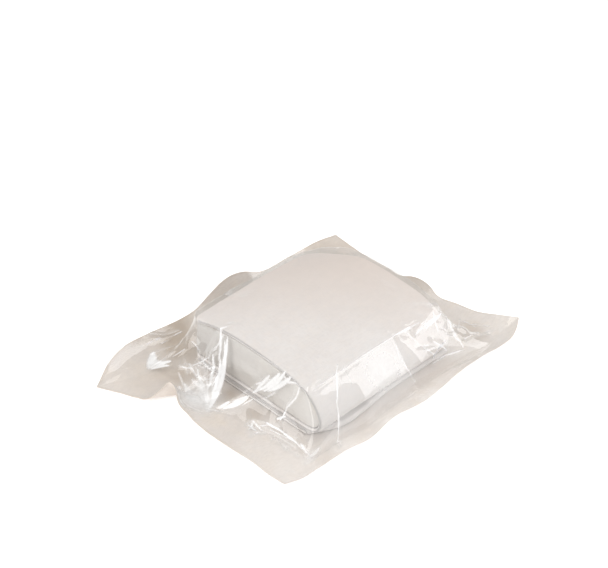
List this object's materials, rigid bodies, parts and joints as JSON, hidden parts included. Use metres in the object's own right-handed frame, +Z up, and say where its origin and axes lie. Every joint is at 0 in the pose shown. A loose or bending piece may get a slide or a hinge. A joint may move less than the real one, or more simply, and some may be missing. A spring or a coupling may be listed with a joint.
{
  "type": "hemostatic dressing in a clear peel pouch",
  "caption": "Thick folded absorbent wound pad sealed in a flat pouch with a crinkled clear film front, a matte paper back and wide curling flanges.",
  "frame": {"origin": "under the middle of the folded pad, on the surface that the pouch lies on", "axes": "+X along the pouch's long side, +Y across it from the pad's front fold to its open back edge, +Z up out of the resting surface"},
  "size_m": [0.2436, 0.1693, 0.0429],
  "materials": {
    "medical_paper": "matte smooth medical paper, warm off-white",
    "clear_film": "clear crinkled film, glossy",
    "nonwoven": "matte nonwoven, faintly pinkish white",
    "core_fluff": "soft matte wadding, faintly greenish white"
  },
  "bodies": {
    "root": {"backing_paper": "medical_paper", "clear_film": "clear_film", "outer_wrap": "nonwoven", "absorbent_core": "core_fluff", "folded_tail": "nonwoven"}
  },
  "joints": []
}
